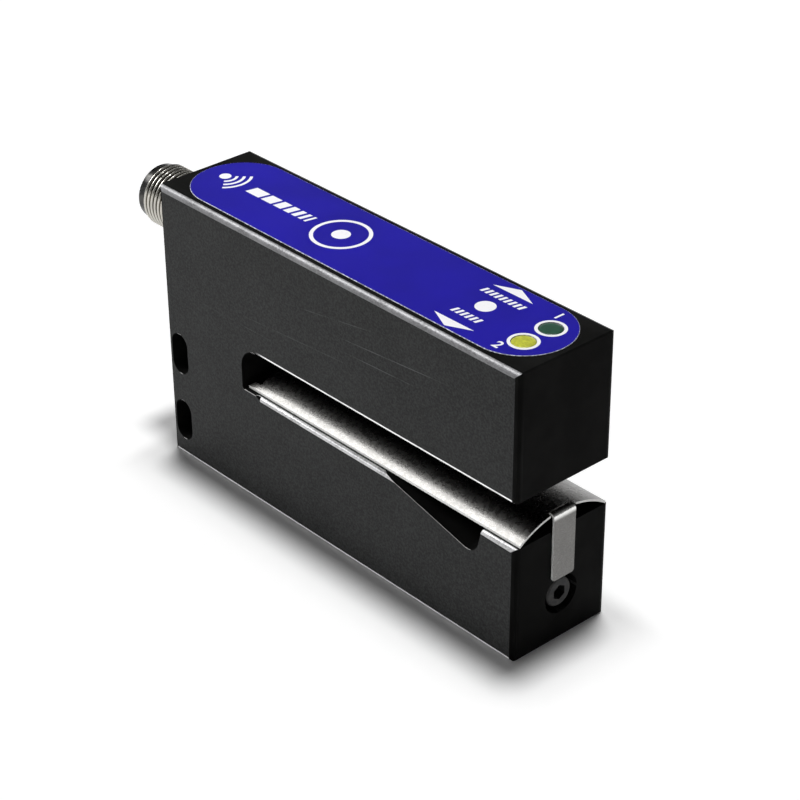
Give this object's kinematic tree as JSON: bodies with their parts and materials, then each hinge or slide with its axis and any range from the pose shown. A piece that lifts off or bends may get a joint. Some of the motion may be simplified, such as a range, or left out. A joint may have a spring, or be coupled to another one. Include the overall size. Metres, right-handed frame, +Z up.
{
  "type": "ultrasonic fork sensor",
  "caption": "Fork-shaped ultrasonic label sensor: black aluminium body with an open slot, arched steel guide plate, blue label with key and lamps on top, round screw connector at the rear",
  "frame": {"origin": "middle of the flat underside of the body", "axes": "+X from the closed end of the fork towards its mouth, +Z up from the underside, +Y across the body"},
  "size_m": [0.1065, 0.0216, 0.0551],
  "materials": {
    "black_anodised": "black anodised, satin",
    "stainless_sheet": "stainless sheet, satin",
    "dark_screw": "blackened steel",
    "blue_foil": "blue printed foil, satin",
    "green_window": "dark green, glossy",
    "yellow_window": "yellow, glossy",
    "white_plastic": "white film",
    "spring_steel": "spring steel",
    "circuit_board": "green solder resist",
    "lamp_green": "clear lamp chip",
    "lamp_yellow": "clear lamp chip",
    "chip_plastic": "black moulding",
    "coil_ferrite": "dark ferrite",
    "transducer_can": "plain aluminium can",
    "soft_rubber": "soft black rubber",
    "cable_jacket": "grey cable jacket",
    "nickel_plate": "nickel-plated brass",
    "insert_plastic": "black moulding",
    "gold_contact": "gold-plated contacts"
  },
  "bodies": {
    "root": {"fork_body": "black_anodised", "guide_plate": "stainless_sheet", "channel_screw": "dark_screw", "label_foil": "blue_foil", "green_lens": "green_window", "yellow_lens": "yellow_window", "key_spacer": "white_plastic", "key_dome": "spring_steel", "top_board": "circuit_board", "green_led": "lamp_green", "yellow_led": "lamp_yellow", "processor": "chip_plastic", "main_board": "circuit_board", "amplifier": "chip_plastic", "drive_coil": "coil_ferrite", "board_header": "chip_plastic", "receiver": "transducer_can", "receiver_sleeve": "soft_rubber", "transmitter": "transducer_can", "transmitter_sleeve": "soft_rubber", "transmitter_cable": "cable_jacket", "connector_shell": "nickel_plate", "connector_insert": "insert_plastic", "contact_pins": "gold_contact", "shell_seal": "soft_rubber", "connector_board": "circuit_board", "link_pins": "gold_contact"}
  },
  "joints": []
}
